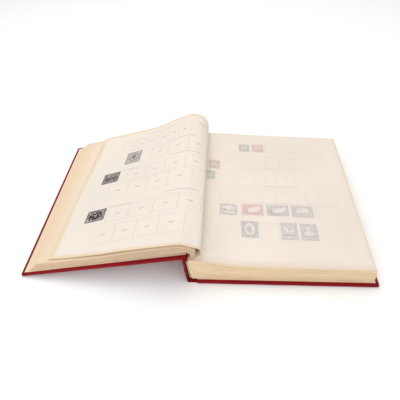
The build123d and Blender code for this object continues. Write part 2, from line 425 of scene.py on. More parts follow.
def makeInk(name, light, dark):
    # letterpress ink on stamp paper: fine engraved lines with blots
    material, tree, shader = newMaterial(name, dict(paperFinish, Roughness=0.6))
    spot = objectSpot(tree)
    turned = addNode(tree, "ShaderNodeMapping", {"Rotation": (0.0, 0.0, 0.6)}, {"Vector": spot})
    lines = addNode(tree, "ShaderNodeTexWave", {
        "bands_direction": "X", "Scale": waveScale(2 * engravedLine), "Distortion": 3.0, "Detail": 2.0,
    }, {"Vector": turned.outputs["Vector"]})
    blots = noise(tree, 260.0, 3.0, spot)
    both = maths(tree, "MULTIPLY", lines.outputs["Fac"], ramp(tree, blots, 0.3, 0.6))
    tree.links.new(mixColours(tree, both, dark, light), shader.inputs["Base Color"])
    return material


def makePlain(name, first, second, scale, roughness, bump=0.1):
    # a mottled matt finish for paper, board, thread and gum
    material, tree, shader = newMaterial(name, dict(paperFinish, Roughness=roughness))
    spot = objectSpot(tree)
    cloudy = noise(tree, scale, 4.0, spot)
    tone = mixColours(tree, ramp(tree, cloudy, 0.35, 0.65), first, second)
    tree.links.new(tone, shader.inputs["Base Color"])
    addBump(tree, shader, cloudy, bump, 0.0003)
    return material


bookCloth = makeBookCloth(clothLook)
leafPaper = makeLeafPaper("aged_album_paper", leafLook, 0.075)
# painted shade: the turned top leaf is the same album paper as the right page, given a darker copy that
# stands in for the shade on it
shadedTurnedLook = dict(leafLook, page="#E9DFD3", cool="#E4DBD0", toned="#E2CDAC")
marginLook = dict(leafLook, page="#ECDECB", cool="#E8D9C5", toned="#E6CFB2")
shadedTurnedPaper = makeLeafPaper("shaded_turned_album_paper", shadedTurnedLook, 0.075)
marginPaper = makeLeafPaper("toned_album_paper", marginLook, 0.16)
leafEdge = makeLeafEdge("cut_leaf_edge", leafLook["edge"], leafLook["edgeDark"])
# cut edges of the turned leaves: golden, and drawn brighter as painted light where their tail edges sit in
# shade
litLeftEdge = makeLeafEdge("golden_leaf_edge_painted_lit", leafLook["litLeftEdge"], leafLook["litLeftEdgeDark"])
glassine = makeGlassine()
endpaper = makePlain("cream_endpaper", "#EFDDC0", "#E6D0AE", 26.0, 0.75)
greyboard = makePlain("grey_board", "#8B7F70", "#776B5D", 300.0, 0.9)
liningPaper = makePlain("brown_lining_paper", "#B89A6E", "#A98A5D", 60.0, 0.85)
cotton = makePlain("unbleached_cotton", "#D9CDB4", "#BFB196", 900.0, 0.9, 0.3)
gummedTab = makePlain("gummed_tab_paper", "#E9E2CF", "#DDD5BF", 80.0, 0.6)
stampPaper = makePlain("white_stamp_paper", "#E9E2D8", "#DDD5CA", 120.0, 0.7)
printInk = makePlain("grey_printing_ink", "#8C8580", "#75706C", 600.0, 0.7)
ruleInk = makePlain("faint_rule_ink", "#CDC5BB", "#BFB8B0", 300.0, 0.7)
darkInk = makePlain("dark_printing_ink", "#6E6560", "#564E4A", 600.0, 0.7)
redInk = makePlain("brown_red_printing_ink", "#A36A60", "#96594F", 600.0, 0.7)


def makeBandThread():
    # headband of twisted cotton in two colours, a stripe each 2 mm
    material, tree, shader = newMaterial("striped_band_thread", {"Roughness": 0.8, "IOR": 1.5})
    spot = objectSpot(tree)
    stripes = addNode(tree, "ShaderNodeTexWave", {
        "bands_direction": "Z", "Scale": waveScale(2.0),
    }, {"Vector": spot}).outputs["Fac"]
    tone = mixColours(tree, ramp(tree, stripes, 0.45, 0.55), "#84705A", "#D9CDB0")
    tree.links.new(tone, shader.inputs["Base Color"])
    addBump(tree, shader, stripes, 0.4, 0.0004)
    return material


bandThread = makeBandThread()
cadFinishes = {
    "book_cloth": bookCloth, "greyboard": greyboard, "endpaper": endpaper, "lining_paper": liningPaper,
    "cotton": cotton, "band_thread": bandThread, "gummed_tab": gummedTab, "stamp_paper": stampPaper,
    "glassine": glassine, "leaf_paper": leafPaper,
}
for subpart in frame["record"]["subparts"]:
    node = bpy.data.objects.get(subpart["node"])
    if node is not None:
        paint(node, cadFinishes[subpart["material_slot"]])
print("materials made")


def smoothLine(points, steps=10):
    # a smooth line through the points, with its running length
    spots = [Vector(p) for p in points]
    line = []
    for i in range(len(spots) - 1):
        a, b, c, d = spots[max(i - 1, 0)], spots[i], spots[i + 1], spots[min(i + 2, len(spots) - 1)]
        for step in range(steps):
            t = step / steps
            line.append(0.5 * (
                2 * b + (c - a) * t + (2 * a - 5 * b + 4 * c - d) * t * t + (3 * b - a - 3 * c + d) * t ** 3
            ))
    line.append(spots[-1])
    lengths = [0.0]
    for first, second in zip(line, line[1:]):
        lengths.append(lengths[-1] + (second - first).length)
    return line, lengths


def alongLine(smooth, share):
    line, lengths = smooth
    wanted = min(max(share, 0.0), 1.0) * lengths[-1]
    low, high = 0, len(lengths) - 1
    while high - low > 1:
        middle = (low + high) // 2
        if lengths[middle] <= wanted:
            low = middle
        else:
            high = middle
    part = (wanted - lengths[low]) / (lengths[high] - lengths[low])
    return line[low].lerp(line[high], part), (line[high] - line[low]).normalized()


def heightAt(points, x):
    if x <= points[0][0]:
        return points[0][1]
    if x >= points[-1][0]:
        return points[-1][1]
    i = max(k for k in range(len(points) - 1) if points[k][0] <= x)

    def slope(k):
        a, b = points[max(k - 1, 0)], points[min(k + 1, len(points) - 1)]
        return (b[1] - a[1]) / (b[0] - a[0])

    span = points[i + 1][0] - points[i][0]
    t = (x - points[i][0]) / span
    return (
        points[i][1] * (2 * t ** 3 - 3 * t ** 2 + 1) + slope(i) * span * (t ** 3 - 2 * t ** 2 + t)
        + points[i + 1][1] * (3 * t ** 2 - 2 * t ** 3) + slope(i + 1) * span * (t ** 3 - t ** 2)
    )


rightPage = {
    "tail": [(-5.4, 43.3), (1.9, 43.6), (11.4, 41.9), (22.5, 40.1), (32.5, 37.5), (42.6, 35.2), (52.7, 33.8),
             (72.8, 33.0), (92.9, 32.2), (113, 31.5), (153, 30.9), (189, 30.2), (225, 29.1), (242.7, 28.6)],
    "head": [(-5.4, 43.6), (2, 43.9), (16, 43.1), (43.5, 41.3), (71.2, 39.1), (98.8, 37.5), (126.4, 36.0),
             (181.5, 32.7), (218, 30.9), (242.7, 29.8)],
    "drop": 0.35,  # block below the measured surface, which is the interleaf
}


def rightTop(distance, y):
    share = min(max((y + album["halfPage"]) / (2 * album["halfPage"]), 0), 1)
    low, high = heightAt(rightPage["tail"], distance), heightAt(rightPage["head"], distance)
    return low + (high - low) * share - rightPage["drop"]


def onRight(lift):
    def placeAt(x, y, z):
        return x + spineSide, y, rightTop(x, y) + lift + z
    return placeAt


coverLook = {
    "joint": 7.0, "thickness": 3.75, "round": 1.0, "corner": 2.2, "cuts": 12,
    "rubbed": {"reach": 1.2, "edge": 0.45, "tip": 5.0},
    "waver": 0.12,
    "back": {"width": 251.2, "tail": -151.8, "head": 151.0},
    "front": {"width": 249.6, "tail": -146.8, "head": 150.6},
}


def toFront(length, y, rise):
    # a point given along and above the open front cover
    tilt = hingeLine["tilt"]
    footX = hingeLine["distance"] + hingeLine["rise"] * sin(tilt)
    footZ = hingeLine["height"] - hingeLine["rise"] * cos(tilt)
    return (
        footX - length * cos(tilt) - rise * sin(tilt) + spineSide,
        y,
        footZ - length * sin(tilt) + rise * cos(tilt),
    )


def makeCase(name, look, board, placeAt):
    width, tail, head = board["width"], board["tail"], board["head"]
    case = newBox((look["joint"], tail, 0), (width, head, look["thickness"]))
    # rounded corners in plan first, then the soft edge that the wrapped cloth gives
    setMode("EDIT")
    bpy.ops.mesh.select_all(action="DESELECT")
    bpy.ops.mesh.select_mode(type="EDGE")
    setMode("OBJECT")
    bevelEdges(case, lambda a, b: abs(a.z - b.z) > 1 and a.x > width - 1, look["corner"], 4)
    bevelEdges(case, lambda a, b: abs(a.z - b.z) < 0.01, look["round"], 3)
    setMode("EDIT")
    cuts = look["cuts"]
    cutAcross(0, [look["joint"] + (width - look["joint"]) * cut / cuts for cut in range(1, cuts)])
    cutAcross(1, [tail + (head - tail) * cut / cuts for cut in range(1, cuts)])
    setMode("OBJECT")
    wear = case.data.attributes.new("wear", "FLOAT", "POINT")
    reach, edgeWear, tipReach = (look["rubbed"][key] for key in ("reach", "edge", "tip"))
    for vertex in case.data.vertices:
        x, y, z = vertex.co
        inside = min(y - tail, head - y)
        ends = max(width - x < reach, inside < reach) * edgeWear
        tip = width - x < tipReach and inside < tipReach
        wear.data[vertex.index].value = 1.0 if tip else ends
        # the edge of the turned-in cloth is never quite straight
        if inside < reach:
            vertex.co.y -= look["waver"] * (1 if y > 0 else -1) * (1 + sin(x * 0.11 + 2 * y))
    lay(case, placeAt)
    outward(case)
    case.name = name
    paint(case, bookCloth)
    smoothPiece(case, 40)
    return case


backCase = makeCase("backCase", coverLook, coverLook["back"], lambda x, y, z: (x + spineSide, y, z))
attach(backCase, "back_cover")
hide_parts("back_cloth", "back_board", "back_infill")
frontCase = makeCase("frontCase", coverLook, coverLook["front"], toFront)
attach(frontCase, "front_cover")
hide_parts("front_cloth", "front_board", "front_infill")

# the endpaper leaves on the front board; the tail side is given at the joint and at the fore-edge
endLeaves = [
    {"name": "frontPastedown", "node": "front_pastedown", "near": 7.2, "far": 244.8, "tail": (-140.6, -142.9),
     "head": 146.0, "rise": 3.76, "thickness": 0.18, "slot": "endpaper"},
    {"name": "frontFlyleaf", "node": "front_flyleaf", "near": 36.0, "far": 242.6, "tail": (-139.9, -142.2),
     "head": 145.2, "rise": 3.98, "thickness": 0.2, "slot": "leaf_paper"},
]


def makeEndLeaf(look):
    leaf = newGrid(look["name"], look["near"], look["far"], 0, 1, 24, 16)
    thicken(leaf, look["thickness"])
    markEdges(leaf)
    pageUv(leaf, look["near"], look["far"], 0, 1)

    def placeAt(x, y, z):
        along = (x - look["near"]) / (look["far"] - look["near"])
        tail = mixed(look["tail"], along)
        return toFront(x, tail + (look["head"] - tail) * y, look["rise"] + z)

    lay(leaf, placeAt)
    outward(leaf)
    paint(leaf, endpaper if look["slot"] == "endpaper" else marginPaper, litLeftEdge)
    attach(leaf, "front_cover")
    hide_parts(look["node"])


for endLeaf in endLeaves:
    makeEndLeaf(endLeaf)
print("covers made")


spineLook = {
    "outer": 7.3, "thickness": 2.5, "foot": 0.6, "top": 44.6, "bow": 0.5, "round": 0.9,
    "cutSteps": (4.4, 30), "rubbed": {"reach": 1.2, "edge": 0.6, "flat": 0.1},
}


def leaning(distance, height):
    return distance - album["lean"] * (height - album["coverStack"])


def makeSpine(look):
    half, outside = album["halfHeight"], -look["outer"]
    spine = newBox((outside, -half, look["foot"]), (outside + look["thickness"], half, look["top"]))
    spine.name = "spineCase"
    setMode("EDIT")
    bpy.ops.mesh.select_all(action="SELECT")
    bpy.ops.mesh.bevel(offset=look["round"], segments=3)
    upStep, alongStep = look["cutSteps"]
    cutAcross(2, [look["foot"] + upStep * cut for cut in range(1, 10)])
    cutAcross(1, [alongStep * cut for cut in range(-4, 5)])
    setMode("OBJECT")
    wear = spine.data.attributes.new("wear", "FLOAT", "POINT")
    rubbed = look["rubbed"]
    for vertex in spine.data.vertices:
        atEnd = album["halfHeight"] - abs(vertex.co.y) < rubbed["reach"]
        wear.data[vertex.index].value = rubbed["edge"] if atEnd else rubbed["flat"]

    def placeAt(x, y, z):
        share = (z - look["foot"]) / (look["top"] - look["foot"])
        bow = look["bow"] * sin(pi * min(max(share, 0), 1))
        return leaning(x - bow, z) + spineSide, y, z

    lay(spine, placeAt)
    outward(spine)
    paint(spine, bookCloth)
    smoothPiece(spine, 40)
    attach(spine, "text_block")
    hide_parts("spine_cloth", "spine_board")
    return spine


makeSpine(spineLook)


def makeStrip(name, points, thickness, first=0.0, last=1.0):
    # a strip of cloth along the whole height of the album, between two shares of a line
    line = smoothLine(points)
    strip = newGrid(name, 0, 1, -album["halfHeight"], album["halfHeight"], 14, 12)
    thicken(strip, thickness)

    def placeAt(x, y, z):
        spot, run = alongLine(line, first + (last - first) * x)
        return spot.x - run.y * z + spineSide, y, spot.y + run.x * z

    lay(strip, placeAt)
    outward(strip)
    paint(strip, bookCloth)
    smoothPiece(strip, 50)
    return strip


backJointLine = [(-6.6, 1.6), (-5.2, 0.5), (-1.0, 0.15), (3.5, 0.1), (6.0, 0.2), (7.4, 0.9)]
backJoint = makeStrip("backJoint", backJointLine, 0.7)
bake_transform(backJoint)
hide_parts("back_joint_cloth")
frontJointLine = [(-10.9, 43.4), (-10.6, 45.6), (-8.6, 46.6), (-6.2, 46.9), (-5.2, 48.2), (-5.4, 50.0)]
for part, (first, last, bodies) in enumerate((
    (0.0, 0.5, ("text_block", "front_joint")), (0.5, 1.0, ("front_joint", "front_cover")),
)):
    strip = makeStrip("frontJoint" + "AB"[part], frontJointLine, 0.7, first, last)
    if part == 0:
        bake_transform(strip)
        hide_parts("front_joint_cloth")
    else:
        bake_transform(strip)
print("spine made")


blockLook = {
    "layers": 72,
    "filled": 0.9,  # share of each layer that is paper
    "perSection": 9,
    "sectionGap": 0.12,
    "jitter": 0.3,
    "endJitter": 0.6,
    "waver": 0.2,
    "rounding": 0.5,
    "bunching": 1.35,  # draws the points of a sheet together towards the gutter
}


def makeBlock(look):
    sheets = []
    for layer in range(look["layers"]):
        first = layer / look["layers"]
        # the gap is a little wider where one section ends and the next begins
        sectionEnds = layer % look["perSection"] == look["perSection"] - 1
        fill = look["filled"] - (look["sectionGap"] if sectionEnds else 0.0)
        last = (layer + fill) / look["layers"]
        foreShift = chance.uniform(-1, 1) * look["jitter"]
        tailShift = chance.uniform(-1, 0.3) * look["jitter"]
        headShift = chance.uniform(-0.3, 1) * look["jitter"]
        phase = chance.uniform(0, 6)
        sheet = newGrid("sheet", 0, 1, 0, 1, 22, 3)
        thicken(sheet, 1.0)
        markEdges(sheet)
        pageUv(sheet, 0, 1, 0, 1)

        def placeAt(x, y, z):
            share = first + (last - first) * z
            back = album["pageBack"] - album["lean"] * album["spineHeight"] * share
            # the folded spine edge is a little round
            back += look["rounding"] * (2 * share - 1) ** 2
            front = album["pageFront"] - album["lean"] * album["foreHeight"] * share + foreShift
            distance = back + (front - back) * x ** look["bunching"]
            tail = -album["halfPage"] - tailShift * look["endJitter"]
            tail -= look["waver"] * sin(distance * 0.05 + phase)
            head = album["halfPage"] + headShift * look["endJitter"]
            spotY = tail + (head - tail) * y
            top = rightTop(distance, spotY)
            height = album["blockBottom"] + share * (top - album["blockBottom"])
            return distance + spineSide, spotY, height

        lay(sheet, placeAt)
        sheets.append(sheet)
    for sheet in sheets:
        paint(sheet, leafPaper, leafEdge)
    block = joinAll(sheets, "pageBlock")
    outward(block)
    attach(block, "text_block")
    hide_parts("guard_strips", *["section_%d" % number for number in range(1, 9)])
    return block


makeBlock(blockLook)
print("page block made")


looseLook = {
    "leaf": {"lift": 0.1, "thickness": 0.25, "start": 3.0, "end": 242.9},
    "interleaf": {"lift": 0.78, "thickness": 0.08, "start": 3.0, "end": 242.4},
    "split": 25.0,
    "softRoot": (3.0, 14.0),
    "fold": (33.5, 37.0),
}


def makeLoose(name, look, sheet, faces, nodes):
    for part, (near, end, across) in enumerate((
        (sheet["start"], look["split"], 12), (look["split"], sheet["end"], 60),
    )):
        leaf = newGrid(name + "AB"[part], near, end, -album["halfPage"], album["halfPage"], across, 24)
        thicken(leaf, sheet["thickness"])
        markEdges(leaf)
        pageUv(leaf, 0, 246, -146, 146)
        lay(leaf, onRight(sheet["lift"]))
        outward(leaf)
        paint(leaf, *faces)
        smoothPiece(leaf, 40)
        if part == 0:
            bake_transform(leaf)
            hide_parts(*nodes[:1])
        else:
            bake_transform(leaf)
            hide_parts(*nodes[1:])


makeLoose("rightLeaf", looseLook, looseLook["leaf"], (leafPaper, leafEdge),
          ("right_leaf_hinge", "right_leaf_root", "right_leaf"))
makeLoose("interleafSheet", looseLook, looseLook["interleaf"], (glassine, glassine),
          ("interleaf_hinge", "interleaf_root", "interleaf"))
print("right leaf made")


# Each line runs from the gutter over the arch to the fore-edge: one at the tail, one at the head.
topLeaf = {
    "tail": [(1.8, 43.5), (4.5, 46.1), (9.6, 50.0), (12.1, 53.2), (12.6, 58.6), (9.9, 63.4), (0, 66.4),
             (-9.1, 69.2), (-15.9, 69.9), (-27.6, 67.6), (-48, 62.5), (-68.5, 57.3), (-96.8, 49.9),
             (-125.6, 41.2), (-169.9, 30.2), (-202.8, 23.5)],
    "head": [(3.0, 43.9), (9, 46), (13.1, 51.6), (13.4, 60), (10.7, 68.7), (3.7, 77), (-8.6, 81.6),
             (-18, 81.3), (-28.6, 77.5), (-47, 69.9), (-76, 55.2), (-115, 44.2), (-155, 34), (-184.5, 26.5)],
    "tailY": (-142.5, -133.5),
    "headY": (149.0, 149.0),
    "thickness": 0.22,
    "length": 244.0,
}
upperLeaf = {
    "tail": [(1.0, 43.6), (3.7, 48.2), (5.3, 54.4), (5.0, 60.4), (0.3, 63.8), (-7.5, 66.2), (-14, 67.2),
             (-27, 65.2), (-48, 60), (-68.5, 54.6), (-96.8, 46.8), (-125.6, 38.2), (-169.9, 28.4),
             (-220.5, 18.1)],
    "head": [(1.5, 44), (6, 47), (9.5, 53), (9.5, 62), (6.5, 70), (0, 76), (-9, 78.6), (-19, 78), (-29, 74.2),
             (-47, 66.5), (-76, 51.8), (-115, 41), (-155, 31), (-184, 24), (-219.5, 16.8)],
    "tailY": (-142.0, -137.0),
    "headY": (147.5, 146.5),
}
lowerLeaf = {
    "tail": [(-2.6, 43.7), (-1.5, 47.5), (-1.8, 51.5), (-5, 54.4), (-12, 54), (-22, 50.6), (-45, 44.4),
             (-96, 33.7), (-170, 19.3), (-234.4, 6.7)],
    "head": [(-2.6, 43.9), (-1.2, 48), (-1.4, 53), (-5, 57), (-12, 57), (-22, 53), (-45, 45), (-96, 33.7),
             (-170, 19.3), (-234.4, 6.7)],
    "tailY": (-140.4, -141.4),
    "headY": (146.0, 146.0),
}


def leafLines(leaf):
    return {"tail": smoothLine(leaf["tail"]), "head": smoothLine(leaf["head"]),
            "tailY": leaf["tailY"], "headY": leaf["headY"]}


def between(first, second, share):
    lines = {}
    for side in ("tail", "head"):
        points = []
        for step in range(41):
            along = step / 40
            a, b = alongLine(first[side], along)[0], alongLine(second[side], along)[0]
            points.append(tuple(a.lerp(b, share)))
        lines[side] = smoothLine(points, 3)
    for side in ("tailY", "headY"):
        lines[side] = tuple(a + (b - a) * share for a, b in zip(first[side], second[side]))
    return lines


def spotOnLeaf(lines, along, up, lift):
    low, lowRun = alongLine(lines["tail"], along)
    high, highRun = alongLine(lines["head"], along)
    spot, run = low.lerp(high, up), lowRun.lerp(highRun, up).normalized()
    tail, head = mixed(lines["tailY"], along), mixed(lines["headY"], along)
    return spot.x + run.y * lift + spineSide, tail + (head - tail) * up, spot.y - run.x * lift


def seamShare(lines, height):
    # where the leaf's rise from the gutter has passed a height on both sides
    for step in range(1, 400):
        along = step / 800
        if min(alongLine(lines[side], along)[0].y for side in ("tail", "head")) >= height:
            return along
    return 0.2


def makeTurned(name, lines, first, last, across, thickness, faces):
    leaf = newGrid(name, first, last, 0, 1, across, 8)
    thicken(leaf, thickness)
    markEdges(leaf)
    pageUv(leaf, 0, 1, 0, 1)
    lay(leaf, lambda x, y, z: spotOnLeaf(lines, x, y, z))
    paint(leaf, *faces)
    return leaf


topLines = leafLines(topLeaf)
upperLines = leafLines(upperLeaf)
lowerLines = leafLines(lowerLeaf)
# "rise" is the range of heights over which the root bends; "left" is where the bend over the
# gutter starts and ends, and how much the head side lags behind
topTurn = {"rise": (44.0, 63.4), "left": (9.0, -46.0, 0.12)}
topSeam = seamShare(topLines, topTurn["rise"][1])
turnedSheet = {"thickness": 0.24, "shift": 0.5, "short": 0.006}
bundles = [
    {"name": "lower", "from": 0.0, "to": 0.33, "sheets": 9,
     "rise": (44.0, 51.8), "left": (4.0, -14.0, 0.0)},
    {"name": "middle", "from": 0.37, "to": 0.62, "sheets": 8,
     "rise": (44.0, 56.0), "left": (6.0, -24.0, 0.08)},
    {"name": "upper", "from": 0.72, "to": 1.0, "sheets": 9,
     "rise": (44.0, 59.5), "left": (10.0, -38.0, 0.1)},
]


def bendWithCover(piece):
    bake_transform(piece)


def turnWithCover(rootPiece, farPiece):
    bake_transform(rootPiece)
    bendWithCover(farPiece)


for bundle in bundles:
    roots, spreads = [], []
    for number in range(bundle["sheets"]):
        share = bundle["from"] + (bundle["to"] - bundle["from"]) * number / (bundle["sheets"] - 1)
        lines = between(lowerLines, upperLines, share)
        shift = chance.uniform(-turnedSheet["shift"], turnedSheet["shift"])
        lines["tailY"] = tuple(value + shift for value in lines["tailY"])
        lines["headY"] = tuple(value + shift for value in lines["headY"])
        seam = seamShare(lines, bundle["rise"][1])
        cut = 1.0 - chance.uniform(0, turnedSheet["short"])
        look = (turnedSheet["thickness"], (marginPaper, litLeftEdge))
        roots.append(makeTurned("root", lines, 0.0, seam, 8, *look))
        spreads.append(makeTurned("spread", lines, seam, cut, 34, *look))
    rootPiece = joinAll(roots, bundle["name"] + "LeavesRoot")
    farPiece = joinAll(spreads, bundle["name"] + "Leaves")
    for piece in (rootPiece, farPiece):
        outward(piece)
    turnWithCover(rootPiece, farPiece)
    if bundle["name"] == "lower":
        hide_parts("left_leaves_arch")
        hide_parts("left_leaves_lower")
    if bundle["name"] == "upper":
        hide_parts("left_leaves_upper")
# the top leaf takes the darker copy of the album paper, which is painted shade
topSheet = (topLeaf["thickness"], (shadedTurnedPaper, litLeftEdge))
topRoot = makeTurned("topLeafRoot", topLines, 0.0, topSeam, 14, *topSheet)
topSpread = makeTurned("topLeafSpread", topLines, topSeam, 1.0, 70, *topSheet)
for piece in (topRoot, topSpread):
    outward(piece)
    smoothPiece(piece, 40)
turnWithCover(topRoot, topSpread)
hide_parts("left_leaf_arch")
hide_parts("left_top_leaf")
print("turned leaves made")


def onLeft(lift):
    # flat places on the turned leaf: length from the gutter, y from tail to head
    def placeAt(x, y, z):
        along = x / topLeaf["length"]
        tail, head = mixed(topLeaf["tailY"], along), mixed(topLeaf["headY"], along)
        return spotOnLeaf(topLines, along, (y - tail) / (head - tail), topLeaf["thickness"] + lift + z)
    return placeAt


# printed boxes, rules and captions; the lettering is only rows of short strokes
printLook = {"rule": 0.34, "stroke": 0.55, "film": 0.02}


def flatRule(x0, x1, y0, y1):
    # enough points for the curl of the page, which is strong across and weak upwards
    across = max(1, int(abs(x1 - x0) / 3))
    up = max(1, int(abs(y1 - y0) / 12))
    return newGrid("rule", x0, x1, y0, y1, across, up)


def boxRules(x0, x1, y0, y1, weight):
    return [(x0, x1, y0, y0 + weight), (x0, x1, y1 - weight, y1),
            (x0, x0 + weight, y0, y1), (x1 - weight, x1, y0, y1)]


def captionRules(x, y, width):
    # two short lines of tiny strokes
    rules = []
    half = printLook["stroke"] / 2
    for row, share in ((0.9, 1.0), (-0.9, 0.6)):
        spot = x - width * share / 2
        while spot < x + width * share / 2 - 0.6:
            stroke = chance.uniform(0.7, 1.8)
            rules.append((spot, spot + stroke, y + row - half, y + row + half))
            spot += stroke + 0.45
    return rules


def headingRules(x0, x1, y):
    rules = []
    spot = x0
    while spot < x1:
        stroke = chance.uniform(0.9, 2.4)
        half = chance.uniform(0.3, 0.42)
        rules.append((spot, spot + stroke, y - half, y + half))
        spot += stroke + chance.choice((0.5, 0.5, 1.2))
    return rules


leftPrint = {
    "boxes": [
        # row by row from the head: walls between boxes, lowest and highest y
        ([60, 82, 104, 126, 148, 170, 192], 94, 121),
        ([27, 61, 96, 131], 52, 84),
        ([25, 61, 96, 131, 166], 10, 37),
        ([47, 85, 121.5, 155.5, 190], -26, 7),
        ([27, 62, 100, 140, 176], -76, -47),
        ([48, 85, 120, 153.5, 190], -117, -84),
    ],
    "headings": [(38, 85, 46.5), (143, 180, 39.5), (35, 84, -38), (138, 180, -45), (50, 92, 88),
                 (28, 49, 125), (26, 44, 121)],
    "red": (93, 148, 133),
}
rightPrint = {
    "boxes": [
        ([114.5, 137, 160, 183.5, 208], 96, 120),
        ([65, 88, 112, 136, 158.5, 181], 56, 84),
        ([58.6, 92, 124.5, 157.5, 185], 10.5, 50.5),
        ([38, 76, 123, 169.5, 214], -27.5, 0.5),
        ([181, 215], -56, -32.5),
        ([94.8, 121.5], -98.9, -68),
    ],
    "headings": [(112, 136, 53.6), (90, 161, 8.2), (98, 163, -29.3), (106, 148, 122.8), (98, 154, 131)],
}


def layRules(groups, placeAt, name):
    strips = []
    for rules, material in groups:
        for rule in rules:
            strip = flatRule(*rule)
            lay(strip, placeAt)
            paint(strip, material)
            strips.append(strip)
    return joinAll(strips, name)


def splitRules(rules, seam):
    # cuts what crosses the seam of the turned leaf
    near, far = [], []
    for x0, x1, y0, y1 in rules:
        if x1 <= seam:
            near.append((x0, x1, y0, y1))
        elif x0 >= seam:
            far.append((x0, x1, y0, y1))
        else:
            near.append((x0, seam, y0, y1))
            far.append((seam, x1, y0, y1))
    return near, far


def printRules(layout, captionWidth, weight):
    boxes, strokes = [], []
    for walls, low, high in layout["boxes"]:
        for x0, x1 in zip(walls, walls[1:]):
            boxes += boxRules(x0, x1 + weight, low, high, weight)
            strokes += captionRules((x0 + x1) / 2, (low + high) / 2, captionWidth)
    for x0, x1, y in layout["headings"]:
        strokes += headingRules(x0, x1, y)
    return boxes, strokes


seamLength = topSeam * topLeaf["length"]
leftBoxes, leftStrokes = printRules(leftPrint, 9.0, printLook["rule"])
nearBoxes, farBoxes = splitRules(leftBoxes, seamLength)
nearStrokes, farStrokes = splitRules(leftStrokes, seamLength)
filmLift = printLook["film"]
nearPrint = layRules([(nearBoxes, ruleInk), (nearStrokes, printInk)], onLeft(filmLift), "leftPrintRoot")
farPrint = layRules([(farBoxes, ruleInk), (farStrokes, printInk)], onLeft(filmLift), "leftPrint")
turnWithCover(nearPrint, farPrint)
leftTop = layRules([(headingRules(*leftPrint["red"]), redInk)], onLeft(filmLift), "leftHeading")
bendWithCover(leftTop)
rightBoxes, rightStrokes = printRules(rightPrint, 8.0, printLook["rule"] * 1.3)
rightTopLift = looseLook["leaf"]["lift"] + looseLook["leaf"]["thickness"]
rightGroups = [(rightBoxes, printInk), (rightStrokes, darkInk)]
rightPrinted = layRules(rightGroups, onRight(rightTopLift + filmLift), "rightPrint")
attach(rightPrinted, "right_leaf")
print("printing made")


inkColours = {
    "grey": ("grey", "#D2CBC5", "#A8A09A"),
    "ash": ("ash", "#7A7470", "#4E4946"),
    "black": ("black", "#4A4442", "#191616"),
    "smoke": ("smoke", "#A9A19B", "#6E6763"),
    "slate": ("slate", "#CFC9D0", "#968B9C"),
    "line": ("dark_slate", "#453F4A", "#231F28"),
    "violet": ("violet", "#D2C7CE", "#998A9A"),
    "blue": ("blue_grey", "#9EA6AD", "#667078"),
    "steel": ("steel_blue", "#6F7B88", "#48525E"),
    "red": ("carmine", "#E8A09B", "#CC5C60"),
    "crimson": ("crimson", "#C4575C", "#A23A44"),
    "brown": ("red_brown", "#C79A8C", "#A56C5E"),
    "rust": ("rust", "#A0604F", "#824838"),
    "green": ("green", "#9DB8A4", "#648A70"),
    "leaf": ("deep_green", "#5F8A6A", "#3F6B4C"),
}
inks = {
    key: makeInk(name + "_stamp_ink", light, dark) for key, (name, light, dark) in inkColours.items()
}
inks["pale"] = makePlain("unprinted_stamp_paper", "#E9E3DC", "#DED8D0", 300.0, 0.7)


def perforated(width, height, pitch=1.8, bite=0.42):
    across, up = 2 * round(width / pitch), 2 * round(height / pitch)
    sheet = newGrid("stamp", 0, width, 0, height, across, up)
    for vertex in sheet.data.vertices:
        x, y, z = vertex.co
        column, row = round(x / width * across), round(y / height * up)
        # every other point of the rim is pulled in, as a row of pin holes leaves it
        if column % 2 == 1:
            if row == 0:
                vertex.co.y += bite
            if row == up:
                vertex.co.y -= bite
        if row % 2 == 1:
            if column == 0:
                vertex.co.x += bite
            if column == across:
                vertex.co.x -= bite
    return sheet


stampLook = {
    "paper": 0.9,  # paper beyond the CAD solid on each side
    "rim": 1.0, "frame": 1.0, "gap": 0.3, "speck": (0.5, 1.5),
    "thickness": 0.12, "frameLift": 0.135, "panelLift": 0.148, "pictureLift": 0.162, "step": 0.01,
    "figure": {"inset": 3.2, "rise": 3.0, "size": 3.4},
}
